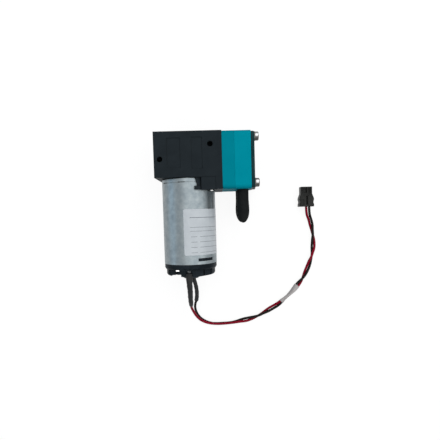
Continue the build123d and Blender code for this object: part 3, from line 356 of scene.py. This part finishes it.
# ------------------------------------------------------------------ the finishes
TEAL_SHEEN = (0.05, 0.85, 1.0, 1.0)
finishes = {
    "housing_black": moulded("housing_black", linear(32, 38, 42), linear(62, 70, 75), 0.50, spread=0.03,
                             Specular_IOR_Level=0.02),
    "plate_teal": moulded("plate_teal", linear(1, 126, 143), linear(16, 152, 170), 0.50, wear=0.1,
                          edge_width=0.0006, spread=0.03, Specular_IOR_Level=0.01, Specular_Tint=TEAL_SHEEN),
    "head_teal": moulded("head_teal", linear(1, 136, 154), linear(16, 162, 180), 0.50, wear=0.1,
                         edge_width=0.0006, spread=0.03, Specular_IOR_Level=0.01, Specular_Tint=TEAL_SHEEN),
    "cover_dark": moulded("cover_dark", linear(19, 46, 49), linear(56, 76, 78), 0.46, Specular_IOR_Level=0.02),
    "end_cap_black": moulded("end_cap_black", linear(15, 22, 27), linear(62, 72, 80), 0.42, wear=0.6,
                             Specular_IOR_Level=0.05),
    "plug_black": moulded("plug_black", linear(28, 29, 28), linear(72, 73, 71), 0.42, wear=0.8,
                          Specular_IOR_Level=0.08),
    "cage_plastic": moulded("cage_plastic", linear(150, 136, 104), linear(196, 184, 150), 0.5),
    "cap_rubber": moulded("cap_rubber", linear(17, 19, 20), linear(42, 44, 44), 0.66, grain=1500.0,
                          depth=0.000012, wear=0.3, spread=0.12, Specular_IOR_Level=0.06),
    "diaphragm_rubber": moulded("diaphragm_rubber", linear(30, 30, 32), linear(60, 60, 62), 0.62),
    "seal_rubber": moulded("seal_rubber", linear(36, 34, 34), linear(64, 62, 62), 0.6),
    "shrink_black": moulded("shrink_black", linear(26, 27, 28), linear(62, 62, 62), 0.42, grain=1800.0,
                            depth=0.00001, wear=0.3, Specular_IOR_Level=0.18),
    "wire_red": moulded("wire_red", linear(120, 4, 30), linear(152, 24, 48), 0.46, grain=1400.0, wear=0.1,
                        Specular_IOR_Level=0.06),
    "wire_black": moulded("wire_black", linear(25, 21, 20), linear(52, 48, 47), 0.46, grain=1400.0, wear=0.1,
                          Specular_IOR_Level=0.06),
    "marker_white": moulded("marker_white", linear(156, 152, 152), linear(190, 186, 184), 0.4, grain=1200.0),
    "magnet_ceramic": moulded("magnet_ceramic", linear(52, 50, 50), linear(84, 80, 78), 0.6),
    "carbon": moulded("carbon", linear(32, 32, 34), linear(72, 72, 76), 0.42),
    # the can's groove and its slits get a wider painted shade
    "can_metal": metal("can_metal", (0.25, 0.283, 0.295, 1), (0.165, 0.198, 0.218, 1), 0.36,
                       lay=(1, 0.05, 1), rim=0.1, tint=1.0, cloud=340.0, shade_reach=0.0012),
    "steel": metal("steel", (0.60, 0.60, 0.59, 1), (0.42, 0.42, 0.42, 1), 0.28, lay=(1, 0.1, 1)),
    # screws: a very dark base colour as painted shade for the dark reflections on the heads, and a painted
    # highlight on their upper side
    "screw_steel": metal("screw_steel", (0.085, 0.082, 0.078, 1), (0.05, 0.048, 0.046, 1), 0.20, rim=0.0,
                         painted_glint=0.50),
    "washer_steel": metal("washer_steel", (0.12, 0.12, 0.115, 1), (0.08, 0.08, 0.077, 1), 0.28, rim=0.0),
    "rod_aluminium": metal("rod_aluminium", (0.78, 0.79, 0.80, 1), (0.62, 0.63, 0.65, 1), 0.36),
    "bronze": metal("bronze", (0.55, 0.40, 0.24, 1), (0.42, 0.29, 0.17, 1), 0.42),
    "core_steel": metal("core_steel", (0.44, 0.44, 0.45, 1), (0.30, 0.30, 0.31, 1), 0.38, lay=(0.05, 1, 0.05)),
    "copper": metal("copper", (0.80, 0.42, 0.26, 1), (0.62, 0.30, 0.17, 1), 0.32, lay=(1, 0.1, 1)),
    "solder": metal("solder", (0.10, 0.105, 0.11, 1), (0.06, 0.065, 0.07, 1), 0.34, grain=2400.0,
                    depth=0.00001),
    "terminal_tin": metal("terminal_tin", (0.86, 0.86, 0.85, 1), (0.70, 0.70, 0.69, 1), 0.24),
}


# ------------------------------------------------------------------ printed label
def label_print():
    """Blank form on the label: a block of ruled lines under one heavier rule, with no words."""
    n = Nodes(bpy.data.materials.new("label_print"))
    place = n.place()
    parts = n.add("ShaderNodeSeparateXYZ", {"Vector": place})
    top_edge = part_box("rating_label")[1].y
    low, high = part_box("motor_can")
    height = (low.z + high.z) / 2
    radius = (high.z - low.z) / 2
    angle = n.math("ARCTAN2", parts.outputs["X"], n.math("SUBTRACT", parts.outputs["Z"], height))
    run = n.math("MULTIPLY", angle, radius)
    down = n.math("SUBTRACT", top_edge, parts.outputs["Y"])

    def inside(value, start, end):
        return n.math("MULTIPLY", n.math("GREATER_THAN", value, start), n.math("LESS_THAN", value, end))

    def stroke(top, thick, start, end):
        """A ruled line: its distance down the label, its thickness and its two ends round the can."""
        return n.math("MULTIPLY", inside(down, top, top + thick), inside(run, start, end))

    strokes = [stroke(0.0112, 0.00016, 0.0010, 0.0290)]
    first_row, row_step = 0.0140, 0.0027
    for row in range(4):
        top = first_row + row_step * row
        strokes.append(stroke(top, 0.00018, 0.0014, 0.0046))
        strokes.append(stroke(top, 0.00018, 0.0060, 0.0270))
    strokes.append(stroke(0.0042, 0.00030, 0.0010, 0.0290))
    strokes.append(stroke(0.0092, 0.00018, 0.0010, 0.0200))
    ink = strokes[0]
    for more in strokes[1:]:
        ink = n.math("MAXIMUM", ink, more)
    clouds = n.noise(place, 260.0, 4.0)
    fibres = n.noise(n.place((1, 4, 1)), 2400.0, 2.0)
    paper = n.mix(n.range(clouds, 0.35, 0.7, 0.0, 0.6), linear(181, 188, 194), linear(194, 201, 206))
    tone = n.mix(n.math("MULTIPLY", ink, n.range(fibres, 0.2, 0.6, 0.75, 0.95)), paper, linear(70, 78, 88))
    return n.shader(tone, n.range(fibres, 0.3, 0.7, 0.30, 0.40), n.bump(fibres, 0.000002))


finishes["label_silver"] = label_print()
slot_of = {part["node"]: part["material_slot"] for part in frame["record"]["subparts"]}
# saddle_screws take the bright tin finish as a painted glint; motor_terminals take the darker solder finish in
# place of their tin
glint_and_dull_finish = {"motor_terminals": "solder", "saddle_screws": "terminal_tin"}   # not that of the node's slot
for name, node in nodes.items():
    if not node.material_slots:
        node.data.materials.append(None)
    for slot in node.material_slots:
        slot.material = finishes[glint_and_dull_finish.get(name, slot_of[name])]

# ------------------------------------------------------------------ leads, sleeves and marker
red = lead_curve("red_lead", RED_ROUTE, LEAD_RADIUS)
black = lead_curve("black_lead", BLACK_ROUTE, LEAD_RADIUS)
for lead, node, finish in ((red, "lead_red", "wire_red"), (black, "lead_black", "wire_black")):
    lead.data.materials.append(finishes[finish])
    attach(lead, "root")
    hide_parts(node)
red_line = centreline(red)
black_line = centreline(black)


BORE_ROOM = 0.00003          # between a lead and the bore of its heat-shrink
SHRINK_WALL = 0.00018
SHRINK_OVER_LEAD = 0.0002    # the least that its outside stands off the lead
SHRINK_LIP = 0.00006         # by which its two ends are rounded
SHRINK_LUMPS = (0.00004, 1900.0, 0.0), (0.00003, 3700.0, 1.0)    # height, radians a metre, start
SHRINK_RING_STEP = 0.0006
TAB_COVER = 0.0016           # of a terminal that its heat-shrink covers
TAB_RINGS = 4


def shrink_sleeve(name, line, node, start, stations):
    """Heat-shrink over a terminal and the first stretch of a lead.

    A station is its length along the sleeve, the sleeve's width there and its height over its width.
    """
    out = (line[0] - line[1]).normalized()
    first = [line[0] + out * start * (TAB_RINGS - k) / TAB_RINGS for k in range(TAB_RINGS)]
    centres = first + along(line, 0.0, stations[-1][0] - start, SHRINK_RING_STEP)
    across = [Vector((1, 0, 0))] * len(centres)
    least = LEAD_RADIUS + BORE_ROOM
    reach = lengths(centres)

    def outline(i):
        s = min(reach[i], stations[-1][0])
        k = max(j for j in range(len(stations) - 1) if stations[j][0] <= s)
        share = (s - stations[k][0]) / (stations[k + 1][0] - stations[k][0])
        share = share * share * (3 - 2 * share)
        width = stations[k][1] * (1 - share) + stations[k + 1][1] * share
        flat = stations[k][2] * (1 - share) + stations[k + 1][2] * share
        lump = sum(size * math.sin(s * rate + begin) for size, rate, begin in SHRINK_LUMPS)
        lip = SHRINK_LIP if i in (0, len(centres) - 1) else 0.0
        half = width / 2 + lump - lip
        tall = max(LEAD_RADIUS + SHRINK_OVER_LEAD, width / 2 * flat + lump * 0.7 - lip)
        return [(half, tall), (max(least, half - SHRINK_WALL), max(least, tall - SHRINK_WALL))]

    sleeve = sleeve_mesh(name, centres, across, outline, finishes["shrink_black"])
    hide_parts(node)
    return sleeve


red_sleeve = shrink_sleeve("red_shrink", red_line, "heat_shrink_red", TAB_COVER,
                           [(0.0, 0.0031, 0.6), (0.0022, 0.0036, 0.6), (0.0052, 0.0031, 0.7),
                            (0.0105, 0.0028, 0.8), (0.0180, 0.0025, 0.9), (0.0208, 0.0022, 1.0)])
black_sleeve = shrink_sleeve("black_shrink", black_line, "heat_shrink_black", TAB_COVER,
                             [(0.0, 0.0025, 0.8), (0.0045, 0.0023, 0.9), (0.0180, 0.0023, 0.95),
                              (0.0195, 0.0025, 0.95)])


MARKER_ENDS = Vector((0.0502, -0.0780, 0.0013)), Vector((0.0605, -0.0699, 0.0013))
MARKER_WALL = 0.00012
MARKER_CREASE = 0.00003
MARKER_PAST_LEADS = 0.00018, 0.00020    # from the leads to its outside, along and across the line between them


def nearest(line, point):
    """Where in a line of points the one nearest to a point comes."""
    return min(range(len(line)), key=lambda k: (line[k] - point).length)


def marker():
    """White sleeve round both leads; it turns with them."""
    first, last = (nearest(red_line, end) for end in MARKER_ENDS)
    centres, across = [], []
    for point in red_line[first:last + 1]:
        other = black_line[nearest(black_line, point)]
        centres.append((point + other) / 2)
        across.append(other - point)
    tall = LEAD_RADIUS + MARKER_PAST_LEADS[1]

    def outline(i):
        crease = MARKER_CREASE * math.sin(i * 0.5)
        half = across[i].length / 2 + LEAD_RADIUS + MARKER_PAST_LEADS[0]
        return [(half, tall + crease), (half - MARKER_WALL, tall - MARKER_WALL)]

    piece = sleeve_mesh("white_marker", centres, across, outline, finishes["marker_white"])
    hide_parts("marker_sleeve")
    return piece


white_marker = marker()


# ------------------------------------------------------------------ solder at the terminals
SOLDER_WIDE, SOLDER_LONG, SOLDER_TALL = 0.0018, 0.0011, 0.0010


def solder(name, x, y, z):
    """Lump of solder where a lead is joined to its terminal, above the sleeve's end."""
    rows, sides = 8, 20
    vertices, faces = [], []
    for i in range(rows + 1):
        share = i / rows
        swell = math.sin(math.pi * (0.06 + 0.88 * share)) ** 0.6
        for k in range(sides):
            angle = 2 * math.pi * k / sides
            wobble = 1 + 0.08 * math.sin(3 * angle + 5 * share)
            vertices.append((x + SOLDER_WIDE / 2 * swell * wobble * math.cos(angle),
                             y + SOLDER_LONG * (share - 0.5),
                             z + SOLDER_TALL / 2 * swell * wobble * math.sin(angle)))
    for i in range(rows):
        for k in range(sides):
            m = (k + 1) % sides
            faces.append((i * sides + k, (i + 1) * sides + k, (i + 1) * sides + m, i * sides + m))
    faces.append(tuple(range(sides)))
    faces.append(tuple(reversed(range(rows * sides, (rows + 1) * sides))))
    mesh_piece(name, vertices, faces, finishes["solder"])


terminal_low, terminal_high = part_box("motor_terminals")
half_tab = 0.00025                  # half of a terminal's thickness
joint_y = RED_ROUTE[0][1] + 0.0021  # in front of where the leads begin
solder("solder_red", RED_ROUTE[0][0], joint_y, terminal_high.z - half_tab)
solder("solder_black", BLACK_ROUTE[0][0], joint_y, terminal_low.z + half_tab)


# ------------------------------------------------------------------ floor, lamps and background
FLOOR_SHADOW = 0.12      # the share of the floor's look that takes the object's shadow
FLOOR_HALF, FLOOR_LEVEL = 3.0, -0.0001
SKY_LOW, SKY_HIGH = 0.10, 0.52    # the sky's strength at the horizon and overhead
LAMP_AIM = Vector((0.015, -0.03, 0.01))
LAMP_DISTANCE = 0.6


def make_floor():
    """Pale floor: white where it is seen, keeping the object's shadow, and a plain grey to light the object."""
    n = Nodes(bpy.data.materials.new("floor"))
    grain = n.noise(n.place(), 40.0, 3.0)
    paint = n.mix(n.range(grain, 0.3, 0.7), (0.27, 0.27, 0.27, 1), (0.29, 0.29, 0.29, 1))
    matte = n.add("ShaderNodeBsdfDiffuse", {"Color": paint}).outputs[0]
    white = n.add("ShaderNodeBsdfDiffuse", {"Color": (1, 1, 1, 1)}).outputs[0]
    glow = n.add("ShaderNodeEmission", {"Color": (1, 1, 1, 1), "Strength": 1.03}).outputs[0]
    shown = n.add("ShaderNodeMixShader", {0: FLOOR_SHADOW, 1: glow, 2: white}).outputs[0]
    surface = n.add("ShaderNodeMixShader", {0: n.seen(), 1: matte, 2: shown}).outputs[0]
    n.put(n.add("ShaderNodeOutputMaterial").inputs["Surface"], surface)
    data = bpy.data.meshes.new("floor")
    corners = ((-1, -1), (1, -1), (1, 1), (-1, 1))
    data.from_pydata([(FLOOR_HALF * x, FLOOR_HALF * y, FLOOR_LEVEL) for x, y in corners], [], [(0, 1, 2, 3)])
    data.materials.append(n.owner)
    floor = bpy.data.objects.new("floor", data)
    scene.collection.objects.link(floor)


def make_world():
    """Soft sky, brighter overhead, and a white background."""
    scene.world = bpy.data.worlds.new("world")
    n = Nodes(scene.world)
    way = n.add("ShaderNodeTexCoord").outputs["Generated"]
    height = n.add("ShaderNodeSeparateXYZ", {"Vector": way}).outputs["Z"]
    strength = n.range(height, 0.0, 1.0, SKY_LOW, SKY_HIGH)
    sky = n.add("ShaderNodeBackground", {"Color": (1, 1, 1, 1), "Strength": strength}).outputs[0]
    shown = n.add("ShaderNodeBackground", {"Color": (1, 1, 1, 1), "Strength": 1.0}).outputs[0]
    both = n.add("ShaderNodeMixShader", {0: n.seen(), 1: sky, 2: shown}).outputs[0]
    n.put(n.add("ShaderNodeOutputWorld").inputs["Surface"], both)


def lamp(name, turn, rise, size, brightness, colour=(1, 1, 1)):
    """Round soft lamp in a direction given by its turn from +X and its rise, in degrees.

    Its brightness is how bright the lamp itself looks, and 1 is white.
    """
    turn, rise = math.radians(turn), math.radians(rise)
    way = Vector((math.cos(rise) * math.cos(turn), math.cos(rise) * math.sin(turn), math.sin(rise)))
    data = bpy.data.lights.new(name, "AREA")
    data.shape = "DISK"
    data.size = size
    data.energy = brightness * math.pi * math.pi * (size / 2) ** 2
    data.color = colour
    light = bpy.data.objects.new(name, data)
    light.location = LAMP_AIM + way * LAMP_DISTANCE
    light.rotation_euler = way.to_track_quat("Z", "Y").to_euler()
    scene.collection.objects.link(light)


make_floor()
make_world()
lamp("key", 0, 65, 1.25, 0.88)
lamp("back", 100, 52, 0.40, 1.2)
lamp("side", 176, 14, 0.36, 0.7, (0.35, 0.7, 1.0))
lamp("spark", 68, 30, 0.06, 45.0)
scene.view_settings.view_transform = "Standard"
